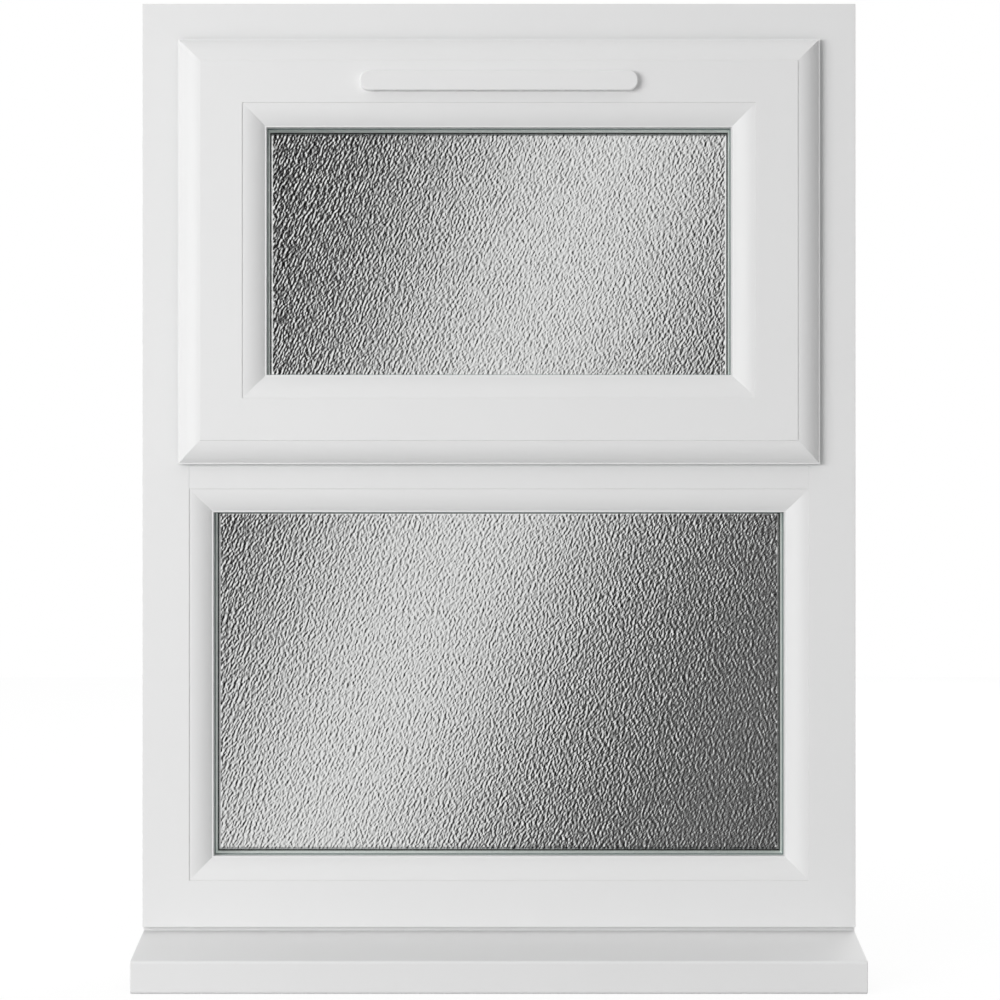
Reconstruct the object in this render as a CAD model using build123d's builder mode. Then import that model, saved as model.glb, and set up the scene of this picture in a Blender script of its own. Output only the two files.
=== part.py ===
from build123d import *
import os

# A white plastic window: a top-hung sash over a fixed light, on a projecting sill.
# Millimetres. X runs to the right as seen from outside, Z up, and the outside lies towards -Y.
# The origin is on the underside of the sill, at mid width, in the plane of the frame's outer face.

# Outer frame and transom
frame_width = 610
frame_height = 790
frame_depth = 70
frame_face = 40
transom_face = 30
fixed_light_height = 335
frame_edge_radius = 0.5
leg_edge_radius = 1.5

# Hollow profile walls
wall = 2.8
web = 1.5
front_chamber = 14

# Glazing: two panes and a spacer, held between gaskets by a bead on the outside
pane = 4
cavity = 20
gasket = 3
gasket_width = 5
gasket_show = 0.8
glazing_cover = 20
glazing_clearance = 5
spacer_inset = 0.5
spacer_show = 0.5
sealant_depth = 3
sealant_show = 0.9
bead_depth = 17

# Rounded mouldings: a deep one on the sash edge and a flatter one on the beads
quirk = 0.7
quirk_land = 0.6
sash_ovolo_depth = 11
sash_ovolo_radius = 22.5
bead_ovolo_depth = 7
bead_ovolo_radius = 30
lip = 1.2

# Sash
sash_overlap = 9
sash_air_gap = 11
sash_stand_out = 18
sash_stem = 36
seal_gap = 4
seal_width = 5
seal_inset = 1.5

# Vent canopy outside, vent cover on the room side, and the air slots between them
vent_length = 236
vent_height = 17.2
vent_depth = 7
vent_wall = 1.8
vent_end_radius = 8
vent_edge_radius = 1.5
vent_drop = 38
vent_slot_count = 12
vent_slot_length = 14
vent_slot_pitch = 18
vent_slot_width = 3
air_slot_count = 3
air_slot_length = 60
air_slot_height = 8
air_slot_pitch = 72
cover_depth = 10
cover_drop = 40.5
cover_tab_length = 30
cover_tab_height = 6
cover_tab_depth = 2.5

# Handle on the room side of the sash's bottom rail
handle_rise = 24
base_length = 112
base_height = 22
base_depth = 13
base_edge_radius = 3
neck_diameter = 16
lever_gap = 8
lever_length = 116
lever_root = 22
lever_tip = 15
lever_thickness = 10
lever_edge_radius = 2.5

# Sill
sill_depth = 150
sill_height = 30
sill_wall = 2.5
sill_rib = 2
sill_nose_top = 14.2
sill_nose_drop = 13
sill_nose_width = 12
sill_nose_radius = 2.5
sill_slope_end = 26.3
sill_upstand_back = 7
drip_groove_width = 4
drip_groove_depth = 3
end_cap = 2.5
end_cap_radius = 0.8
front_rib_place = -34
back_rib_place = 42

# Heights and half widths that follow from the sizes above
glazing_unit = 2 * pane + cavity
leg_front = bead_depth + 2 * gasket + glazing_unit
frame_half = frame_width / 2
frame_bottom = sill_height
frame_top = frame_bottom + frame_height
rebate_half = frame_half - frame_face
fixed_bottom = frame_bottom + frame_face
fixed_top = fixed_bottom + fixed_light_height
transom_top = fixed_top + transom_face
opening_top = frame_top - frame_face
sash_half = rebate_half + sash_overlap
sash_bottom = transom_top - sash_overlap
sash_top = opening_top + sash_overlap
sash_front = -sash_stand_out
sash_depth = sash_stand_out + leg_front - seal_gap
sash_back = sash_front + sash_depth
flange_width = sash_overlap + sash_air_gap
flange_depth = sash_stand_out - seal_gap
sash_face = flange_width + sash_stem
sash_rebate_half = sash_half - sash_face
sash_rebate_bottom = sash_bottom + sash_face
sash_rebate_top = sash_top - sash_face
frame_leg_tip = frame_face + glazing_cover
sash_leg_tip = sash_face + glazing_cover
sash_lip_depth = quirk + sash_ovolo_depth
bead_lip_depth = quirk + bead_ovolo_depth
sill_front = frame_depth - sill_depth
nose_back = sill_front + sill_nose_width
bed_front = nose_back + drip_groove_width
vent_centre = sash_top - vent_drop
cover_centre = sash_top - cover_drop


def chamber(left, right, front, back):
    """Cut one rectangular hollow out of the section being drawn."""
    with Locations(((left + right) / 2, (front + back) / 2)):
        Rectangle(right - left, back - front, mode=Mode.SUBTRACT)


def hollow_out(stem_left, stem_right, leg_left, leg_right, depth):
    """Cut the front, main and leg chambers out of a profile section."""
    front_end = wall + front_chamber
    main_end = leg_front + wall - web
    chamber(stem_left + wall, stem_right - wall, wall, front_end)
    chamber(stem_left + wall, stem_right - wall, front_end + web, main_end)
    chamber(leg_left + wall, leg_right - wall, main_end + web, depth - wall)


# Sections: local X is measured in from the outer edge, local Y back from the outside face
with BuildSketch() as frame_section:
    with BuildLine():
        Polyline(
            (0, 0),
            (frame_face, 0),
            (frame_face, leg_front),
            (frame_leg_tip, leg_front),
            (frame_leg_tip, frame_depth),
            (0, frame_depth),
            close=True,
        )
    make_face()
    fillet(frame_section.vertices().group_by(Axis.X)[0], frame_edge_radius)
    fillet(frame_section.vertices().group_by(Axis.X)[-1], leg_edge_radius)
    hollow_out(0, frame_face, 0, frame_leg_tip, frame_depth)

with BuildSketch() as sash_section:
    with BuildLine():
        Polyline(
            (flange_width, flange_depth),
            (0, flange_depth),
            (0, sash_lip_depth),
            (lip, sash_lip_depth),
        )
        RadiusArc((lip, sash_lip_depth), (flange_width - quirk_land, quirk), -sash_ovolo_radius)
        Polyline(
            (flange_width - quirk_land, quirk),
            (flange_width, quirk),
            (flange_width, 0),
            (sash_face, 0),
            (sash_face, leg_front),
            (sash_leg_tip, leg_front),
            (sash_leg_tip, sash_depth),
            (flange_width, sash_depth),
            (flange_width, flange_depth),
        )
    make_face()
    fillet(sash_section.vertices().group_by(Axis.X)[-1], leg_edge_radius)
    hollow_out(flange_width, sash_face, flange_width, sash_leg_tip, sash_depth)

with BuildSketch() as bead_section:
    with BuildLine():
        Polyline(
            (glazing_cover - lip, bead_lip_depth),
            (glazing_cover, bead_lip_depth),
            (glazing_cover, bead_depth),
            (0, bead_depth),
            (0, quirk),
            (quirk_land, quirk),
        )
        RadiusArc((quirk_land, quirk), (glazing_cover - lip, bead_lip_depth), -bead_ovolo_radius)
    make_face()

with BuildSketch() as sill_outline:
    with BuildLine():
        Polyline(
            (sill_front, -sill_nose_drop),
            (sill_front, sill_nose_top),
            (sill_upstand_back, sill_slope_end),
            (sill_upstand_back, sill_height),
            (frame_depth, sill_height),
            (frame_depth, 0),
            (bed_front, 0),
            (bed_front, drip_groove_depth),
            (nose_back, drip_groove_depth),
            (nose_back, -sill_nose_drop),
            close=True,
        )
    make_face()
    fillet(sill_outline.vertices().group_by(Axis.X)[0], sill_nose_radius)
    fillet(sill_outline.vertices().group_by(Axis.Y)[0].sort_by(Axis.X)[-1], sill_nose_radius)


def save(solid, name):
    """Label a finished piece and write it under its own name."""
    solid.label = name
    export_step(solid, f"parts/{name}.step")


def side_planes(half_width, bottom, top, front):
    """Planes for the four sides of a rectangle: local X points inwards, local Y to the room."""
    middle = (bottom + top) / 2
    return {
        "left": (Plane((-half_width, front, middle), (1, 0, 0), (0, 0, 1)), (top - bottom) / 2),
        "right": (Plane((half_width, front, middle), (-1, 0, 0), (0, 0, -1)), (top - bottom) / 2),
        "top": (Plane((0, front, top), (0, 0, -1), (1, 0, 0)), half_width),
        "bottom": (Plane((0, front, bottom), (0, 0, 1), (-1, 0, 0)), half_width),
    }


def mitred_lengths(section, half_width, bottom, top, front):
    """Carry a section round a rectangle as four straight lengths, each mitred at both ends."""
    lengths = {}
    for side, (plane, half_length) in side_planes(half_width, bottom, top, front).items():
        with BuildPart() as length:
            with BuildSketch(plane):
                add(section.sketch)
            extrude(amount=half_length, both=True)
            for end in (1, -1):
                corner = plane.origin + plane.z_dir * (end * half_length)
                mitre = Plane(corner, z_dir=plane.x_dir + plane.z_dir * end)
                split(bisect_by=mitre, keep=Keep.BOTTOM)
        lengths[side] = length.part
    return lengths


def upright(depth):
    """A plane facing the outside at the given depth: local X is X, local Y is Z."""
    return Plane((0, depth, 0), (1, 0, 0), (0, -1, 0))


def room_side(depth):
    """A plane facing the room at the given depth: local Y is Z."""
    return Plane((0, depth, 0), (-1, 0, 0), (0, 1, 0))


def ring(name, front, back, half_width, bottom, top, band):
    """A rectangular band, closed round the light, between two depths."""
    with BuildPart() as loop:
        with BuildSketch(upright(back)):
            with Locations((0, (bottom + top) / 2)):
                Rectangle(2 * half_width, top - bottom)
                Rectangle(2 * (half_width - band), top - bottom - 2 * band, mode=Mode.SUBTRACT)
        extrude(amount=back - front)
    save(loop.part, name)


def sheet(name, front, back, half_width, bottom, top):
    """One pane of glass."""
    with BuildPart() as glass:
        with BuildSketch(upright(back)):
            with Locations((0, (bottom + top) / 2)):
                Rectangle(2 * half_width, top - bottom)
        extrude(amount=back - front)
    save(glass.part, name)


def glaze(light, half_width, bottom, top, face):
    """Beads, gaskets, panes, spacer and sealant for one light, from its rebate edges and outside face."""
    for side, bead in mitred_lengths(bead_section, half_width, bottom, top, face).items():
        save(bead, f"{light}_bead_{side}")

    outer_front = face + bead_depth + gasket
    cavity_front = outer_front + pane
    inner_front = cavity_front + cavity
    inner_back = inner_front + pane
    gasket_inset = glazing_cover - gasket_width
    gasket_band = gasket_width + gasket_show
    gasket_edges = (half_width - gasket_inset, bottom + gasket_inset, top - gasket_inset)
    ring(f"{light}_outer_gasket", outer_front - gasket, outer_front, *gasket_edges, gasket_band)
    ring(f"{light}_inner_gasket", inner_back, inner_back + gasket, *gasket_edges, gasket_band)

    inset = glazing_clearance
    pane_edges = (half_width - inset, bottom + inset, top - inset)
    sheet(f"{light}_outer_pane", outer_front, cavity_front, *pane_edges)
    sheet(f"{light}_obscure_pane", inner_front, inner_back, *pane_edges)

    inset = glazing_clearance + spacer_inset
    spacer_edges = (half_width - inset, bottom + inset, top - inset)
    spacer_band = glazing_cover + spacer_show - inset
    spacer_back = inner_front - sealant_depth
    ring(f"{light}_spacer", cavity_front, spacer_back, *spacer_edges, spacer_band)
    sealant_band = spacer_band + sealant_show
    ring(f"{light}_edge_sealant", spacer_back, inner_front, *spacer_edges, sealant_band)


def hood(plane, centre, depth, edge):
    """A shallow hood, hollow at the back, with air slots in its lower (-1) or upper (1) edge."""
    with BuildPart() as shell:
        with BuildSketch(plane):
            with Locations((0, centre)):
                RectangleRounded(vent_length, vent_height, vent_end_radius)
        extrude(amount=depth)
        fillet(shell.faces().sort_by(Axis(plane.origin, plane.z_dir))[-1].edges(), vent_edge_radius)
        with BuildSketch(plane):
            with Locations((0, centre)):
                RectangleRounded(
                    vent_length - 2 * vent_wall,
                    vent_height - 2 * vent_wall,
                    vent_end_radius - vent_wall,
                )
        extrude(amount=depth - vent_wall, mode=Mode.SUBTRACT)
        middle = plane.origin + plane.z_dir * (depth / 2)
        with BuildSketch(Plane((0, middle.Y, centre + edge * vent_height / 2))):
            with GridLocations(vent_slot_pitch, 0, vent_slot_count, 1):
                Rectangle(vent_slot_length, vent_slot_width)
        extrude(amount=-edge * vent_height / 2, mode=Mode.SUBTRACT)
    return shell.part


os.makedirs("parts", exist_ok=True)

# Outer frame: four welded lengths and a transom between the jambs
frame_names = {
    "left": "frame_left_jamb",
    "right": "frame_right_jamb",
    "top": "frame_head",
    "bottom": "frame_bottom_rail",
}
frame_lengths = mitred_lengths(frame_section, frame_half, frame_bottom, frame_top, 0)
for side, length in frame_lengths.items():
    save(length, frame_names[side])

with BuildPart() as transom:
    with BuildSketch(Plane((0, 0, fixed_top), (0, 0, 1), (-1, 0, 0))):
        with BuildLine():
            Polyline(
                (0, 0),
                (transom_face, 0),
                (transom_face, leg_front),
                (transom_face + glazing_cover, leg_front),
                (transom_face + glazing_cover, frame_depth),
                (-glazing_cover, frame_depth),
                (-glazing_cover, leg_front),
                (0, leg_front),
                close=True,
            )
        make_face()
        hollow_out(0, transom_face, -glazing_cover, transom_face + glazing_cover, frame_depth)
    extrude(amount=rebate_half, both=True)
    # The legs stop at the legs of the jambs
    with BuildSketch(upright(frame_depth)):
        with Locations((0, fixed_top + transom_face / 2)):
            Rectangle(2 * rebate_half, transom_face + 2 * glazing_cover)
            Rectangle(
                2 * (rebate_half - glazing_cover),
                transom_face + 2 * glazing_cover,
                mode=Mode.SUBTRACT,
            )
    extrude(amount=frame_depth - leg_front, mode=Mode.SUBTRACT)
save(transom.part, "transom")

# Sash: four welded lengths, the top one with air slots, and the seals that close it against the frame
sash_names = {
    "left": "sash_left_stile",
    "right": "sash_right_stile",
    "top": "sash_top_rail",
    "bottom": "sash_bottom_rail",
}
sash_lengths = mitred_lengths(sash_section, sash_half, sash_bottom, sash_top, sash_front)
with BuildPart() as vented_rail:
    add(sash_lengths["top"])
    with BuildSketch(upright(sash_back)):
        with Locations((0, (vent_centre + cover_centre) / 2)):
            with GridLocations(air_slot_pitch, 0, air_slot_count, 1):
                Rectangle(air_slot_length, air_slot_height)
    extrude(amount=sash_depth, mode=Mode.SUBTRACT)
sash_lengths["top"] = vented_rail.part
for side, length in sash_lengths.items():
    save(length, sash_names[side])
ring(
    "sash_outer_seal",
    -seal_gap,
    0,
    sash_half - seal_inset,
    sash_bottom + seal_inset,
    sash_top - seal_inset,
    seal_width,
)
inner_seal_inset = flange_width + seal_inset
ring(
    "sash_inner_seal",
    sash_back,
    leg_front,
    sash_half - inner_seal_inset,
    sash_bottom + inner_seal_inset,
    sash_top - inner_seal_inset,
    seal_width,
)

# Glazing of both lights
glaze("sash", sash_rebate_half, sash_rebate_bottom, sash_rebate_top, sash_front)
glaze("fixed", rebate_half, fixed_bottom, fixed_top, 0)

# Vent: a canopy outside with slots in its underside, and a cover inside with slots in its upper edge
save(hood(upright(sash_front), vent_centre, vent_depth, -1), "vent_canopy")
with BuildPart() as vent_cover:
    add(hood(room_side(sash_back), cover_centre, cover_depth, 1))
    # A small tab slides the cover
    with BuildSketch(room_side(sash_back + cover_depth)):
        with Locations((0, cover_centre)):
            SlotOverall(cover_tab_length, cover_tab_height)
    extrude(amount=cover_tab_depth)
save(vent_cover.part, "vent_cover")

# Handle: a base on the sash and a lever that stands clear of it
handle_centre = sash_bottom + flange_width + handle_rise
with BuildPart() as handle_base:
    with BuildSketch(upright(sash_back)):
        with Locations((0, handle_centre)):
            SlotOverall(base_length, base_height)
    extrude(amount=-base_depth)
    fillet(handle_base.faces().sort_by(Axis.Y)[-1].edges(), base_edge_radius)
save(handle_base.part, "handle_base")

base_back = sash_back + base_depth
lever_front = base_back + lever_gap
with BuildPart() as handle_lever:
    with BuildSketch(upright(base_back)):
        with Locations((0, handle_centre)):
            Circle(neck_diameter / 2)
    extrude(amount=-lever_gap)
    with BuildSketch(upright(lever_front)):
        with Locations((0, handle_centre)):
            Circle(lever_root / 2)
        with Locations((lever_length, handle_centre)):
            Circle(lever_tip / 2)
        make_hull()
    extrude(amount=-lever_thickness)
    fillet(handle_lever.faces().sort_by(Axis.Y)[-1].edges(), lever_edge_radius)
save(handle_lever.part, "handle_lever")

# Sill: a hollow extrusion that slopes to a nose, closed by a cap at each end
sill_half = frame_half - end_cap
slope_rise = (sill_slope_end - sill_nose_top) / (sill_upstand_back - sill_front)
rib_roofs = {
    front_rib_place: sill_nose_top + slope_rise * (front_rib_place - sill_front),
    sill_upstand_back + sill_wall / 2: sill_height,
    back_rib_place: sill_height,
}
with BuildPart() as sill:
    with BuildSketch(Plane.YZ):
        add(sill_outline.sketch)
        offset(amount=-sill_wall, kind=Kind.INTERSECTION, mode=Mode.SUBTRACT)
        for place, roof in rib_roofs.items():
            with Locations((place, roof / 2)):
                Rectangle(sill_rib, roof - sill_wall)
    extrude(amount=sill_half, both=True)
save(sill.part, "sill")

for side, direction in (("left", -1), ("right", 1)):
    with BuildPart() as cap:
        with BuildSketch(Plane.YZ.offset(direction * sill_half)):
            add(sill_outline.sketch)
        extrude(amount=direction * end_cap)
        outside = cap.faces().sort_by(Axis.X)[0 if direction < 0 else -1]
        fillet(outside.edges(), end_cap_radius)
    save(cap.part, f"sill_end_cap_{side}")
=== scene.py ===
"""Finish of a top-hung window: mitred profiles, rolled glass, materials, light and camera."""

import bpy
import numpy as np
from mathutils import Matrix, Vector


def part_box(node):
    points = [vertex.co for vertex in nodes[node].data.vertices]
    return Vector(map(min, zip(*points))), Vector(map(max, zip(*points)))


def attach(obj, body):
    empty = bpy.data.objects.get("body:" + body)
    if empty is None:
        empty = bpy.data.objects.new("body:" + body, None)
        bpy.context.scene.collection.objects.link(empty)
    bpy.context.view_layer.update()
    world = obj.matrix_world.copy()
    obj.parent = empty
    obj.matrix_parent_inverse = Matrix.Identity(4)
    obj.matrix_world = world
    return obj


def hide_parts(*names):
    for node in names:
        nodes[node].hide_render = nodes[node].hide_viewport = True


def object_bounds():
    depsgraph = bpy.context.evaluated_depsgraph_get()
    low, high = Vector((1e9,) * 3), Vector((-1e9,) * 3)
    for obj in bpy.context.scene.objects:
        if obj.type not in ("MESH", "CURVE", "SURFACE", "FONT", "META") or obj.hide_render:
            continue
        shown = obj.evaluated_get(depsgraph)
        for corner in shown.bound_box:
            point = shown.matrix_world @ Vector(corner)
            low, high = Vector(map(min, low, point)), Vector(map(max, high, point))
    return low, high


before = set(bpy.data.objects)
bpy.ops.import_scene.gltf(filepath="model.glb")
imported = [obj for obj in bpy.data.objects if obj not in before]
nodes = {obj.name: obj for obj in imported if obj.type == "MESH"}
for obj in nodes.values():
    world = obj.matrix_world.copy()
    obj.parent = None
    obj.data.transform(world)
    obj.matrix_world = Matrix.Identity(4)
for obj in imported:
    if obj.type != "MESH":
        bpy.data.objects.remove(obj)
cad_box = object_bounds()

MM = 0.001
SIDES = ("left", "right", "top", "bottom")

# Sections in millimetres: inwards from the outer edge, then back from the outside face
FRAME_FACE = 40
FRAME_DEPTH = 70
TRANSOM_FACE = 30
LEG_FRONT = 51
LEG_REACH = 20
SASH_FLANGE = 20
SASH_FACE = 56
SASH_DEPTH = 65
FLANGE_BACK = 14
BEAD_DEPTH = 17
QUIRK = 0.7
QUIRK_LAND = 0.6
LIP = 1.2
LIP_DEPTH = 11.7
SASH_OVOLO_RADIUS = 22.5
BEAD_LIP_DEPTH = 7.7
BEAD_OVOLO_RADIUS = 30
FRAME_ROUND = 0.5
LEG_ROUND = 1.5
ARRIS = 0.35
FINE_ARRIS = 0.2
FLAT_MARGIN = 0.15

# Rolled glass in millimetres: grid across and up, depth of the relief, and the edge without streaks
STREAK_STEP = (1.05, 1.5)
STREAK_RELIEF = 0.3
SPACER_COVER = 13
PLAIN_MARGIN = 17.4

# Streak height of the plain edge, gain from streak height to relief, and a seed for each pane
PLAIN_STREAK = 1.2
RELIEF_GAIN = 2
PANE_SEEDS = {"sash": 11, "fixed": 23}

# Waves of the streaks: mean and spread of the pitch per millimetre and of each lean in degrees
WAVES = 240
STREAK_PITCH = (0.36, 0.095)
STREAK_LIMITS = (0.16, 0.46)
LEFT_LEAN = (-27, 15)
RIGHT_LEAN = (24, 15)

# Change from the left lean to the right one, in millimetres across
LEAN_START = -860
LEAN_SPAN = 1800

# Finer streaks drawn over the waves, only in the glass's painted shade: noise scale per metre, turn in
# radians, stretch and strength
FINE_SCALE = 700.0
FINE_TURN = -0.52
FINE_STRETCH = 0.5
FINE_STRENGTH = 1.5

# Painted band of light on the rolled glass, and where the streaks change far to its right, in millimetres
PAINTED_LIGHT_TOP = 705
PAINTED_LIGHT_PLACE = 96.5
PAINTED_LIGHT_SLANT = -0.387
PAINTED_LIGHT_BEND = -0.00005
PAINTED_LIGHT_WIDTH = 189
FAR_START = 169
FAR_SPAN = 153

# Tone curve of the streaks' painted shade: its value beside the painted band of light, and its change on
# the band and far from it
GAIN = (2.8, -1.0, -1.6)
BIAS = (-1.15, 2.95, 0.2)
DARKEST = (0.0, 0.0, 0.09)
PALEST = (0.97, -0.04, 0.03)
TONE_POWER = 2.2

# Surfaces: noise scales per metre, depth of the grain in metres, and the bend of thin clear panes
BROAD_SCALE = 9.0
GLOSS_SCALE = 60.0
GRAIN_DEPTH = 0.0002
GLASS_INDEX = 1.1

# Floor in metres: the seen floor's own glow and its share of the light add up to white in the open
FLOOR_REACH = 4
FLOOR_DROP = 0.0002
FLOOR_GREY = 0.6
SEEN_SHADE = 0.13
SEEN_GLOW = 0.89

# Point that the lamps face and place of the camera in metres, its lens and sensor in millimetres
LAMP_AIM = (0, 0, 0.5)
CAMERA_PLACE = (0.0009, -2.359, 0.3955)
CAMERA_LENS = 99.28
SENSOR_WIDTH = 36


def rounded_outline(corners, radii, steps=6):
    """Close a section through its corners, each turned by an arc of its own radius.

    The arc runs between the two points that lie radius / tan(half the corner's angle) from the
    corner, round a centre on the bisector. A point just beyond each end of the arc keeps the flat
    next to it flat.
    """
    corners = np.array(corners, float)
    radii = np.array(radii, float)
    back = np.roll(corners, 1, axis=0) - corners
    ahead = np.roll(corners, -1, axis=0) - corners
    back /= np.linalg.norm(back, axis=1, keepdims=True)
    ahead /= np.linalg.norm(ahead, axis=1, keepdims=True)
    half = np.arccos(np.clip((back * ahead).sum(axis=1), -1, 1)) / 2
    reach = radii / np.tan(half)
    bisector = back + ahead
    bisector /= np.maximum(np.linalg.norm(bisector, axis=1, keepdims=True), 1e-9)
    centre = corners + bisector * (radii / np.sin(half))[:, None]
    turn = np.maximum(np.pi - 2 * half, 1e-6)[:, None]
    share = np.linspace(0, 1, steps)[None, :]
    from_start = (np.sin((1 - share) * turn) / np.sin(turn))[..., None]
    from_end = (np.sin(share * turn) / np.sin(turn))[..., None]
    start = corners + back * reach[:, None] - centre
    end = corners + ahead * reach[:, None] - centre
    arcs = centre[:, None] + from_start * start[:, None] + from_end * end[:, None]
    margin = FLAT_MARGIN * (radii > 0)
    before = corners + back * (reach + margin)[:, None]
    after = corners + ahead * (reach + margin)[:, None]
    points = np.concatenate([before[:, None], arcs, after[:, None]], axis=1).reshape(-1, 2)
    apart = np.linalg.norm(points - np.roll(points, 1, axis=0), axis=1)
    return points[apart > 1e-4]


def ovolo(start, end, radius, steps=16):
    """Points on a bulging arc of the given radius from start to end, ends included.

    The centre lies behind the chord, square to its middle, and the angle runs evenly.
    """
    start = np.array(start, float)
    end = np.array(end, float)
    chord = end - start
    length = np.linalg.norm(chord)
    square = np.array([-chord[1], chord[0]]) / length
    square *= np.sign(square[1])
    centre = (start + end) / 2 + square * np.sqrt(radius**2 - length**2 / 4)
    first, last = (np.arctan2(*(point - centre)[::-1]) for point in (start, end))
    angle = np.linspace(first, last, steps)[:, None]
    return centre + radius * np.hstack([np.cos(angle), np.sin(angle)])


def section(*parts):
    """A rounded outline from corners (x, y, radius) and moulding points (no radius), in order."""
    rows = [np.atleast_2d(part) for part in parts]
    rows = [row if row.shape[1] == 3 else np.hstack([row, np.zeros((len(row), 1))]) for row in rows]
    table = np.vstack(rows)
    return rounded_outline(table[:, :2], table[:, 2])


frame_section = section(
    (0, 0, FRAME_ROUND),
    (FRAME_FACE, 0, ARRIS),
    (FRAME_FACE, LEG_FRONT, ARRIS),
    (FRAME_FACE + LEG_REACH, LEG_FRONT, LEG_ROUND),
    (FRAME_FACE + LEG_REACH, FRAME_DEPTH, LEG_ROUND),
    (0, FRAME_DEPTH, FRAME_ROUND),
)
transom_section = section(
    (0, 0, ARRIS),
    (TRANSOM_FACE, 0, ARRIS),
    (TRANSOM_FACE, LEG_FRONT, ARRIS),
    (TRANSOM_FACE + LEG_REACH, LEG_FRONT, ARRIS),
    (TRANSOM_FACE + LEG_REACH, FRAME_DEPTH, ARRIS),
    (-LEG_REACH, FRAME_DEPTH, ARRIS),
    (-LEG_REACH, LEG_FRONT, ARRIS),
    (0, LEG_FRONT, ARRIS),
)
sash_section = section(
    (0, FLANGE_BACK, FINE_ARRIS),
    (0, LIP_DEPTH, ARRIS),
    (LIP, LIP_DEPTH, FINE_ARRIS),
    ovolo((LIP, LIP_DEPTH), (SASH_FLANGE - QUIRK_LAND, QUIRK), SASH_OVOLO_RADIUS)[1:],
    (SASH_FLANGE, QUIRK, FINE_ARRIS),
    (SASH_FLANGE, 0, ARRIS),
    (SASH_FACE, 0, ARRIS),
    (SASH_FACE, LEG_FRONT, ARRIS),
    (SASH_FACE + LEG_REACH, LEG_FRONT, LEG_ROUND),
    (SASH_FACE + LEG_REACH, SASH_DEPTH, LEG_ROUND),
    (SASH_FLANGE, SASH_DEPTH, ARRIS),
    (SASH_FLANGE, FLANGE_BACK, FINE_ARRIS),
)
bead_section = section(
    (0, QUIRK, FINE_ARRIS),
    ovolo((QUIRK_LAND, QUIRK), (LEG_REACH - LIP, BEAD_LIP_DEPTH), BEAD_OVOLO_RADIUS)[:-1],
    (LEG_REACH - LIP, BEAD_LIP_DEPTH, FINE_ARRIS),
    (LEG_REACH, BEAD_LIP_DEPTH, ARRIS),
    (LEG_REACH, BEAD_DEPTH, FINE_ARRIS),
    (0, BEAD_DEPTH, FINE_ARRIS),
)


class Nodes:
    """Short hand for adding and joining shader nodes in one tree."""

    def __init__(self, tree):
        self.tree = tree

    def add(self, kind, settings=None, **inputs):
        """A new node with its settings and inputs, where _ in an input's name stands for a space."""
        node = self.tree.nodes.new(kind)
        for name, value in (settings or {}).items():
            setattr(node, name, value)
        for name, value in inputs.items():
            self.feed(node.inputs[name.replace("_", " ")], value)
        return node

    def feed(self, socket, value):
        """Link a socket to another one, or set it to a plain value."""
        if isinstance(value, bpy.types.NodeSocket):
            self.tree.links.new(value, socket)
        else:
            socket.default_value = value

    def math(self, operation, *values):
        """The outcome of one operation on sockets or numbers."""
        node = self.tree.nodes.new("ShaderNodeMath")
        node.operation = operation
        for socket, value in zip(node.inputs, values):
            self.feed(socket, value)
        return node.outputs[0]


def node_group(name, inputs, outputs):
    """A new shader node group with named sockets, and the helper to fill it."""
    tree = bpy.data.node_groups.new(name, "ShaderNodeTree")
    for label, kind, value in inputs:
        tree.interface.new_socket(label, in_out="INPUT", socket_type=kind).default_value = value
    for label, kind in outputs:
        tree.interface.new_socket(label, in_out="OUTPUT", socket_type=kind)
    build = Nodes(tree)
    return build, build.add("NodeGroupInput").outputs, build.add("NodeGroupOutput").inputs


def surface_finish_group():
    """Slight unevenness of a moulded or painted surface: tone, gloss and a fine grain in relief."""
    build, given, made = node_group(
        "surface_finish",
        [
            ("Base", "NodeSocketColor", (0.8, 0.8, 0.8, 1)),
            ("Tone Change", "NodeSocketFloat", 0.02),
            ("Roughness", "NodeSocketFloat", 0.3),
            ("Gloss Change", "NodeSocketFloat", 0.05),
            ("Grain Scale", "NodeSocketFloat", 900.0),
        ],
        [("Color", "NodeSocketColor"), ("Roughness", "NodeSocketFloat"), ("Height", "NodeSocketFloat")],
    )
    place = build.add("ShaderNodeTexCoord").outputs["Object"]
    broad = build.add("ShaderNodeTexNoise", Vector=place, Scale=BROAD_SCALE, Detail=3.0).outputs["Fac"]
    gloss = build.add("ShaderNodeTexNoise", Vector=place, Scale=GLOSS_SCALE, Detail=4.0).outputs["Fac"]
    grain = build.add("ShaderNodeTexNoise", Vector=place, Scale=given["Grain Scale"], Detail=2.0)
    shade = build.math("MULTIPLY", build.math("SUBTRACT", broad, 0.5), given["Tone Change"])
    tinted = build.add("ShaderNodeVectorMath", {"operation": "SCALE"}, Scale=build.math("ADD", 1.0, shade))
    build.feed(tinted.inputs[0], given["Base"])
    build.feed(made["Color"], tinted.outputs["Vector"])
    sway = build.math("MULTIPLY", build.math("SUBTRACT", gloss, 0.5), given["Gloss Change"])
    build.feed(made["Roughness"], build.math("ADD", given["Roughness"], sway))
    build.feed(made["Height"], grain.outputs["Fac"])
    return build.tree


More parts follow.
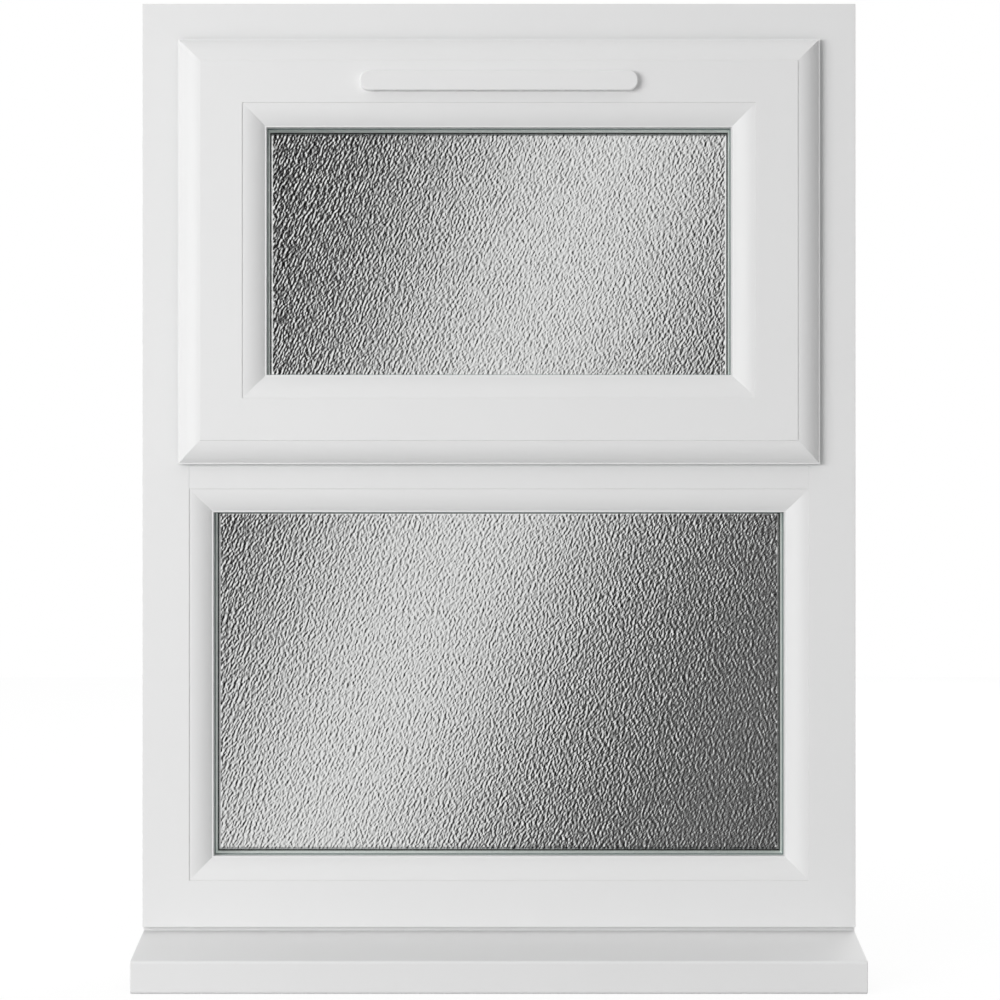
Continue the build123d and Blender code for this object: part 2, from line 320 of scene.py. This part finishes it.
def streak_painted_shade_group():
    """The painted shade of the rolled glass: how much of the view it covers, by streak and place.

    A soft painted band of light slants down through both panes, glow = exp(-(off /
    PAINTED_LIGHT_WIDTH)^2), where off is the distance in millimetres to the right of the band's
    middle line. That line lies at PAINTED_LIGHT_PLACE + down x (PAINTED_LIGHT_SLANT + down x
    PAINTED_LIGHT_BEND), with down counted from PAINTED_LIGHT_TOP. Well to the right of it, far rises
    from 0 to 1. On the band the streaks are painted pale, and on both sides they are darker and
    sharper: tone = low + (high - low) / (1 + exp(-(bias + gain x streak))), and the pane's near-black
    film covers 1 - tone^TONE_POWER of the view.
    """
    build, given, made = node_group(
        "streak_painted_shade",
        [("Streak", "NodeSocketFloat", 0.0)],
        [("Cover", "NodeSocketFloat")],
    )
    place = build.add("ShaderNodeTexCoord").outputs["Object"]
    axes = build.add("ShaderNodeSeparateXYZ", Vector=place).outputs
    across = build.math("DIVIDE", axes["X"], MM)
    down = build.math("SUBTRACT", PAINTED_LIGHT_TOP, build.math("DIVIDE", axes["Z"], MM))
    slant = build.math("MULTIPLY_ADD", down, PAINTED_LIGHT_BEND, PAINTED_LIGHT_SLANT)
    middle = build.math("MULTIPLY_ADD", down, slant, PAINTED_LIGHT_PLACE)
    off = build.math("SUBTRACT", across, middle)
    share = build.math("DIVIDE", off, PAINTED_LIGHT_WIDTH)
    # Painted band of light: the streaks turn pale along it
    glow = build.math("EXPONENT", build.math("MULTIPLY", build.math("MULTIPLY", share, share), -1.0))
    past = build.math("DIVIDE", build.math("SUBTRACT", off, FAR_START), FAR_SPAN)
    far = build.math("MINIMUM", build.math("MAXIMUM", past, 0.0), 1.0)
    gain, bias, low, high = (
        build.math("MULTIPLY_ADD", far, on_far, build.math("MULTIPLY_ADD", glow, on_painted_light, beside))
        for beside, on_painted_light, on_far in (GAIN, BIAS, DARKEST, PALEST)
    )
    drive = build.math("MULTIPLY_ADD", given["Streak"], gain, bias)
    curve = build.math("EXPONENT", build.math("MULTIPLY", drive, -1.0))
    pale = build.math("DIVIDE", 1.0, build.math("ADD", curve, 1.0))
    span = build.math("SUBTRACT", high, low)
    tone = build.math("POWER", build.math("MULTIPLY_ADD", pale, span, low), TONE_POWER)
    # Painted shade: the share of the view that the near-black film covers
    build.feed(made["Cover"], build.math("SUBTRACT", 1.0, tone))
    return build.tree


surface_finish = surface_finish_group()
streak_painted_shade = streak_painted_shade_group()


def new_material(name):
    """An empty material with its shader and the helper to fill it."""
    material = bpy.data.materials.new(name)
    material.use_nodes = True
    build = Nodes(material.node_tree)
    shader = material.node_tree.nodes["Principled BSDF"]
    return material, build, shader


def show(material, build, factor, plain, special):
    """Let a material show one shader, and another one in its place where the factor is 1."""
    mix = build.add("ShaderNodeMixShader", Fac=factor)
    build.feed(mix.inputs[1], plain)
    build.feed(mix.inputs[2], special)
    build.feed(material.node_tree.nodes["Material Output"].inputs["Surface"], mix.outputs["Shader"])


def finished(name, base, roughness, tone_change, gloss_change, grain, relief, specular):
    """A solid material with the shared surface finish and a fine bump."""
    material, build, shader = new_material(name)
    finish = build.add(
        "ShaderNodeGroup",
        {"node_tree": surface_finish},
        Base=(*base, 1),
        Tone_Change=tone_change,
        Roughness=roughness,
        Gloss_Change=gloss_change,
        Grain_Scale=grain,
    ).outputs
    build.feed(shader.inputs["Base Color"], finish["Color"])
    build.feed(shader.inputs["Roughness"], finish["Roughness"])
    bump = build.add("ShaderNodeBump", Strength=relief, Distance=GRAIN_DEPTH, Height=finish["Height"])
    build.feed(shader.inputs["Normal"], bump.outputs["Normal"])
    shader.inputs["Specular IOR Level"].default_value = specular
    return material


white_plastic = finished(
    "white_plastic",
    base=(0.8, 0.8, 0.8),
    roughness=0.5,
    tone_change=0.02,
    gloss_change=0.08,
    grain=700.0,
    relief=0.05,
    specular=0.35,
)
handle_white = finished(
    "handle_white",
    base=(0.8, 0.8, 0.8),
    roughness=0.38,
    tone_change=0.03,
    gloss_change=0.08,
    grain=1500.0,
    relief=0.12,
    specular=0.5,
)
gasket_rubber = finished(
    "gasket_rubber",
    base=(0.20, 0.25, 0.24),
    roughness=0.6,
    tone_change=0.2,
    gloss_change=0.1,
    grain=2500.0,
    relief=0.2,
    specular=0.3,
)
edge_sealant = finished(
    "edge_sealant",
    base=(0.012, 0.014, 0.013),
    roughness=0.5,
    tone_change=0.2,
    gloss_change=0.1,
    grain=1200.0,
    relief=0.2,
    specular=0.2,
)
spacer_bar = finished(
    "spacer_bar",
    base=(0.93, 0.99, 0.96),
    roughness=0.35,
    tone_change=0.08,
    gloss_change=0.1,
    grain=1800.0,
    relief=0.1,
    specular=0.5,
)


def clear_glass_material(name, roughness):
    """Clear glass that bends the view a little, and lets lamp light through."""
    material, build, shader = new_material(name)
    shader.inputs["Base Color"].default_value = (0.99, 0.995, 0.99, 1)
    shader.inputs["Roughness"].default_value = roughness
    shader.inputs["IOR"].default_value = GLASS_INDEX
    shader.inputs["Transmission Weight"].default_value = 1.0
    shader.inputs["Specular IOR Level"].default_value = 0.1
    path = build.add("ShaderNodeLightPath").outputs
    lamp_light = build.math("MAXIMUM", path["Is Shadow Ray"], path["Is Diffuse Ray"])
    through = build.add("ShaderNodeBsdfTransparent", Color=(0.97, 0.98, 0.975, 1))
    show(material, build, lamp_light, shader.outputs["BSDF"], through.outputs["BSDF"])
    return material


def carved_streak(build):
    """The streak height stored on the pane's relief, with finer streaks of stretched noise over it."""
    stored = build.add("ShaderNodeAttribute", {"attribute_name": "streak"}).outputs["Fac"]
    place = build.add("ShaderNodeTexCoord").outputs["Object"]
    turned = build.add(
        "ShaderNodeMapping",
        Vector=place,
        Rotation=(0.0, FINE_TURN, 0.0),
        Scale=(1.0, 1.0, FINE_STRETCH),
    )
    noise = build.add("ShaderNodeTexNoise", Vector=turned.outputs["Vector"], Scale=FINE_SCALE, Detail=1.0)
    centred = build.math("SUBTRACT", noise.outputs["Fac"], 0.5)
    return build.math("MULTIPLY_ADD", centred, FINE_STRENGTH, stored)


def obscure_glass_material():
    """The streaked face of rolled glass as a near-black film: painted shade where a streak turns the view
    aside, else see-through.
    """
    material, build, shader = new_material("obscure_glass")
    tone = build.add("ShaderNodeGroup", {"node_tree": streak_painted_shade}, Streak=carved_streak(build))
    build.feed(shader.inputs["Alpha"], tone.outputs["Cover"])
    # Painted shade: a near-black film whose cover follows the streaks, in place of the refracted view
    shader.inputs["Base Color"].default_value = (0.003, 0.0033, 0.0032, 1)
    shader.inputs["Roughness"].default_value = 0.35
    shader.inputs["Specular IOR Level"].default_value = 0.05
    return material


clear_glass = clear_glass_material("clear_glass", roughness=0.0)
obscure_front_painted_shade = obscure_glass_material()
obscure_back = clear_glass_material("obscure_glass_back", roughness=0.1)


def put(node, points, faces, material):
    """Make a finished piece from its points and faces, in place of one CAD node."""
    name = f"{node}_shape"
    mesh = bpy.data.meshes.new(name)
    mesh.from_pydata(points.tolist(), [], faces)
    mesh.shade_smooth()
    mesh.materials.append(material)
    piece = bpy.data.objects.new(name, mesh)
    bpy.context.scene.collection.objects.link(piece)
    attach(piece, "root")
    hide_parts(node)
    return mesh


def edge_ends(mesh):
    """The numbers of the two points of each edge."""
    ends = np.empty(2 * len(mesh.edges), np.int32)
    mesh.edges.foreach_get("vertices", ends)
    return ends.reshape(-1, 2)


def carried(node, outline, half_length, origin, inwards, along):
    """Carry an outline along a straight line, between ends that may lean.

    A point of the outline at (x, y) runs from -half_length to +half_length along the line, where
    half_length is one number for each point, so a mitre is a half length that falls with x.
    """
    count = len(outline)
    inwards = np.array(inwards, float)
    along = np.array(along, float)
    to_room = np.array((0.0, 1.0, 0.0))
    base = np.array(origin, float) + outline[:, :1] * inwards + outline[:, 1:] * to_room
    reach = half_length[:, None] * along
    points = np.concatenate([base - reach, base + reach]) * MM
    first = np.arange(count)
    following = np.roll(first, -1)
    quads = np.stack([first, following, following + count, first + count], axis=1)
    ends = np.stack([first[::-1], first + count])
    x, y = outline.T
    area = (x * np.roll(y, -1) - np.roll(x, -1) * y).sum()
    # Faces point outwards whichever way round the outline runs
    if area * np.dot(np.cross(inwards, to_room), along) < 0:
        quads = quads[:, ::-1]
        ends = ends[:, ::-1]
    mesh = put(node, points, quads.tolist() + ends.tolist(), white_plastic)
    rings = edge_ends(mesh) // count
    mesh.edges.foreach_set("use_edge_sharp", rings[:, 0] == rings[:, 1])


def rectangle(names):
    """Half width, bottom, top and front of the rectangle that four CAD nodes form, in millimetres."""
    low = np.min([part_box(names[side])[0] for side in ("left", "bottom")], axis=0) / MM
    high = np.max([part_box(names[side])[1] for side in ("right", "top")], axis=0) / MM
    return (high[0] - low[0]) / 2, low[2], high[2], low[1]


def mitred_sides(names, outline):
    """Four mitred lengths of one outline round a rectangle, each for the CAD node of its name."""
    half_width, bottom, top, front = rectangle(names)
    front -= outline[:, 1].min()
    middle = (bottom + top) / 2
    half_height = (top - bottom) / 2
    places = {
        "left": ((-half_width, front, middle), (1, 0, 0), (0, 0, 1), half_height),
        "right": ((half_width, front, middle), (-1, 0, 0), (0, 0, 1), half_height),
        "top": ((0, front, top), (0, 0, -1), (1, 0, 0), half_width),
        "bottom": ((0, front, bottom), (0, 0, 1), (1, 0, 0), half_width),
    }
    for side, (origin, inwards, along, half_length) in places.items():
        carried(names[side], outline, half_length - outline[:, 0], origin, inwards, along)


def transom_between_jambs():
    """The transom's outline carried across, with its legs stopped short by those of the jambs."""
    low, high = (np.array(corner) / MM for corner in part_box("transom"))
    x, y = transom_section.T
    in_leg = (x < 0) | (x > TRANSOM_FACE) | (y > LEG_FRONT)
    half_length = high[0] - LEG_REACH * in_leg
    carried("transom", transom_section, half_length, (0, 0, low[2] + LEG_REACH), (0, 0, 1), (1, 0, 0))


def wave_sum(x, z, chance, mean_lean, lean_spread):
    """Sum of cosine waves of one strength, spread round one pitch and one lean.

    A wave is cos(2 pi pitch (x cos lean + z sin lean) + phase). Each has its own pitch, lean and phase,
    so the crests are short streaks square to the lean. The sum is scaled to a standard deviation of 1.
    """
    pitch = np.clip(chance.normal(*STREAK_PITCH, WAVES), *STREAK_LIMITS)
    lean = np.radians(chance.normal(mean_lean, lean_spread, WAVES))
    phase = chance.uniform(0, 2 * np.pi, WAVES)
    along_x = np.exp(1j * (2 * np.pi * np.outer(pitch * np.cos(lean), x) + phase[:, None]))
    along_z = np.exp(2j * np.pi * np.outer(pitch * np.sin(lean), z))
    return np.real(along_z.T @ along_x) * np.sqrt(2 / WAVES)


def streak_height(x, z, seed):
    """Streaks of two leans that cross: one leads at the left, and the other gains to the right.

    The two wave sums are weighted by the cosine and the sine of a quarter turn spent from LEAN_START
    over LEAN_SPAN, so the streaks keep one strength. Near the pane's edge there are none.
    """
    chance = np.random.default_rng(seed)
    turn = np.pi / 2 * np.clip((x - LEAN_START) / LEAN_SPAN, 0, 1)
    left = wave_sum(x, z, chance, *LEFT_LEAN)
    right = wave_sum(x, z, chance, *RIGHT_LEAN)
    streak = np.cos(turn) * left + np.sin(turn) * right
    edge_x = np.minimum(x - x[0], x[-1] - x)
    edge_z = np.minimum(z - z[0], z[-1] - z)
    streak[np.minimum(edge_x[None, :], edge_z[:, None]) < PLAIN_MARGIN] = PLAIN_STREAK
    return streak


def pane_lines(low, high, step):
    """Grid lines along one side of a pane: even steps where it shows, and one line at each edge."""
    start = low + SPACER_COVER
    stop = high - SPACER_COVER
    lines = np.linspace(start, stop, int((stop - start) / step) + 1)
    return np.concatenate([[low], lines, [high]])


def closed_sheet(face, back):
    """Points, front faces and other faces of a grid closed by straight walls and a flat back.

    The rim runs once round the grid. Each wall joins two of its points with the two straight behind
    them. The last array tells which points lie on the rim or the back.
    """
    rows, columns = face.shape[:2]
    index = np.arange(rows * columns).reshape(rows, columns)
    corners = (index[:-1, :-1], index[:-1, 1:], index[1:, 1:], index[1:, :-1])
    front = np.stack(corners, axis=-1).reshape(-1, 4)
    rim = np.concatenate([index[0, :-1], index[:-1, -1], index[-1, :0:-1], index[:0:-1, 0]])
    behind = np.arange(len(rim)) + rows * columns
    walls = np.stack([rim, behind, np.roll(behind, -1), np.roll(rim, -1)], axis=1)
    grid = face.reshape(-1, 3)
    points = np.concatenate([grid, grid[rim] * (1, 0, 1) + (0, back, 0)])
    outer = np.zeros(len(points), bool)
    outer[rim] = True
    outer[behind] = True
    return points, front.tolist(), walls.tolist() + [behind[::-1].tolist()], outer


def streaked_pane(light, seed):
    """A pane whose outer face is pressed in by the streaks, inside its box.

    The face is the grid (x, front + relief, z), with relief = STREAK_RELIEF / (1 + exp(RELIEF_GAIN x
    streak)), so that it is deepest where the streaks are lowest. At the pane's edges it is 0.
    """
    node = f"{light}_obscure_pane"
    low, high = (np.array(corner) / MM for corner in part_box(node))
    x = pane_lines(low[0], high[0], STREAK_STEP[0])
    z = pane_lines(low[2], high[2], STREAK_STEP[1])
    streak = streak_height(x, z, seed)
    relief = STREAK_RELIEF / (1 + np.exp(RELIEF_GAIN * streak))
    relief[[0, -1]] = 0
    relief[:, [0, -1]] = 0
    grid_x, grid_z = np.meshgrid(x, z)
    face = np.stack([grid_x, low[1] + relief, grid_z], axis=-1)
    points, front, others, outer = closed_sheet(face, high[1])
    mesh = put(node, points * MM, front + others, obscure_front_painted_shade)
    mesh.materials.append(obscure_back)
    finish = np.repeat([0, 1], [len(front), len(others)]).astype(np.int32)
    mesh.polygons.foreach_set("material_index", finish)
    values = np.zeros(len(points), np.float32)
    values[:streak.size] = streak.ravel()
    mesh.attributes.new("streak", "FLOAT", "POINT").data.foreach_set("value", values)
    mesh.edges.foreach_set("use_edge_sharp", outer[edge_ends(mesh)].all(axis=1))


# Frame, sash, beads, transom and rolled glass
frame_nodes = ("frame_left_jamb", "frame_right_jamb", "frame_head", "frame_bottom_rail")
sash_nodes = ("sash_left_stile", "sash_right_stile", "sash_top_rail", "sash_bottom_rail")
mitred_sides(dict(zip(SIDES, frame_nodes)), frame_section)
mitred_sides(dict(zip(SIDES, sash_nodes)), sash_section)
for light in ("sash", "fixed"):
    mitred_sides({side: f"{light}_bead_{side}" for side in SIDES}, bead_section)
transom_between_jambs()
for light, seed in PANE_SEEDS.items():
    streaked_pane(light, seed)

# Materials of the CAD nodes that stay, by the end of their names
dress = {
    "outer_pane": clear_glass,
    "gasket": gasket_rubber,
    "seal": gasket_rubber,
    "edge_sealant": edge_sealant,
    "spacer": spacer_bar,
    "handle_base": handle_white,
    "handle_lever": handle_white,
}
for name, node in nodes.items():
    if node.hide_render:
        continue
    fitting = [material for ending, material in dress.items() if name.endswith(ending)]
    node.data.materials.clear()
    node.data.materials.append(fitting[0] if fitting else white_plastic)


def seen_ray(build):
    """1 for the rays that show the background: straight, in a gloss or through glass."""
    path = build.add("ShaderNodeLightPath").outputs
    indirect = build.math("MAXIMUM", path["Is Glossy Ray"], path["Is Transmission Ray"])
    return build.math("MAXIMUM", path["Is Camera Ray"], indirect)


def floor_material():
    """A floor that is seen as white with the shadow in it, and throws back light as a pale grey."""
    material, build, shader = new_material("floor_paint")
    shader.inputs["Base Color"].default_value = (FLOOR_GREY, FLOOR_GREY, FLOOR_GREY, 1)
    shader.inputs["Roughness"].default_value = 1.0
    shader.inputs["Specular IOR Level"].default_value = 0.0
    shade = build.add("ShaderNodeBsdfDiffuse", Color=(SEEN_SHADE, SEEN_SHADE, SEEN_SHADE, 1))
    glow = build.add("ShaderNodeEmission", Strength=SEEN_GLOW)
    both = build.add("ShaderNodeAddShader")
    build.feed(both.inputs[0], shade.outputs["BSDF"])
    build.feed(both.inputs[1], glow.outputs["Emission"])
    show(material, build, seen_ray(build), shader.outputs["BSDF"], both.outputs["Shader"])
    return material


def floor():
    """A square floor just under the object."""
    level = cad_box[0].z - FLOOR_DROP
    near, far = -FLOOR_REACH, FLOOR_REACH
    corners = [(near, near, level), (far, near, level), (far, far, level), (near, far, level)]
    mesh = bpy.data.meshes.new("floor")
    mesh.from_pydata(corners, [], [(0, 1, 2, 3)])
    mesh.materials.append(floor_material())
    plane = bpy.data.objects.new("floor", mesh)
    bpy.context.scene.collection.objects.link(plane)


def studio_world():
    """White where it is seen. Its light comes from above and from the room side, fading to none."""
    world = bpy.data.worlds.new("studio")
    bpy.context.scene.world = world
    world.use_nodes = True
    build = Nodes(world.node_tree)
    way = build.add("ShaderNodeTexCoord").outputs["Object"]
    axes = build.add("ShaderNodeSeparateXYZ", Vector=way).outputs
    soft = build.math("MAXIMUM", axes["Z"], axes["Y"])
    background = world.node_tree.nodes["Background"]
    background.inputs["Color"].default_value = (1, 1, 1, 1)
    build.feed(background.inputs["Strength"], build.math("MAXIMUM", seen_ray(build), soft))


def area_lamp(name, place, width, height, watts):
    """A soft rectangular lamp, in metres, that faces the middle of the object."""
    data = bpy.data.lights.new(name, "AREA")
    data.shape = "RECTANGLE"
    data.size = width
    data.size_y = height
    data.energy = watts
    lamp = bpy.data.objects.new(name, data)
    lamp.location = place
    lamp.rotation_euler = (Vector(LAMP_AIM) - lamp.location).to_track_quat("-Z", "Y").to_euler()
    bpy.context.scene.collection.objects.link(lamp)


def front_camera():
    """A camera square to the outside face."""
    data = bpy.data.cameras.new("camera")
    data.sensor_width = SENSOR_WIDTH
    data.lens = CAMERA_LENS
    camera = bpy.data.objects.new("camera", data)
    camera.location = CAMERA_PLACE
    camera.rotation_euler = (np.pi / 2, 0, 0)
    bpy.context.scene.collection.objects.link(camera)
    bpy.context.scene.camera = camera


floor()
studio_world()
area_lamp("side_lamp", place=(-2.65, -3.39, 0.9), width=2.8, height=1.4, watts=114)
area_lamp("room_lamp", place=(1.8, 3.2, 1.4), width=1.4, height=1.4, watts=28)
front_camera()
bpy.context.scene.view_settings.view_transform = "Standard"
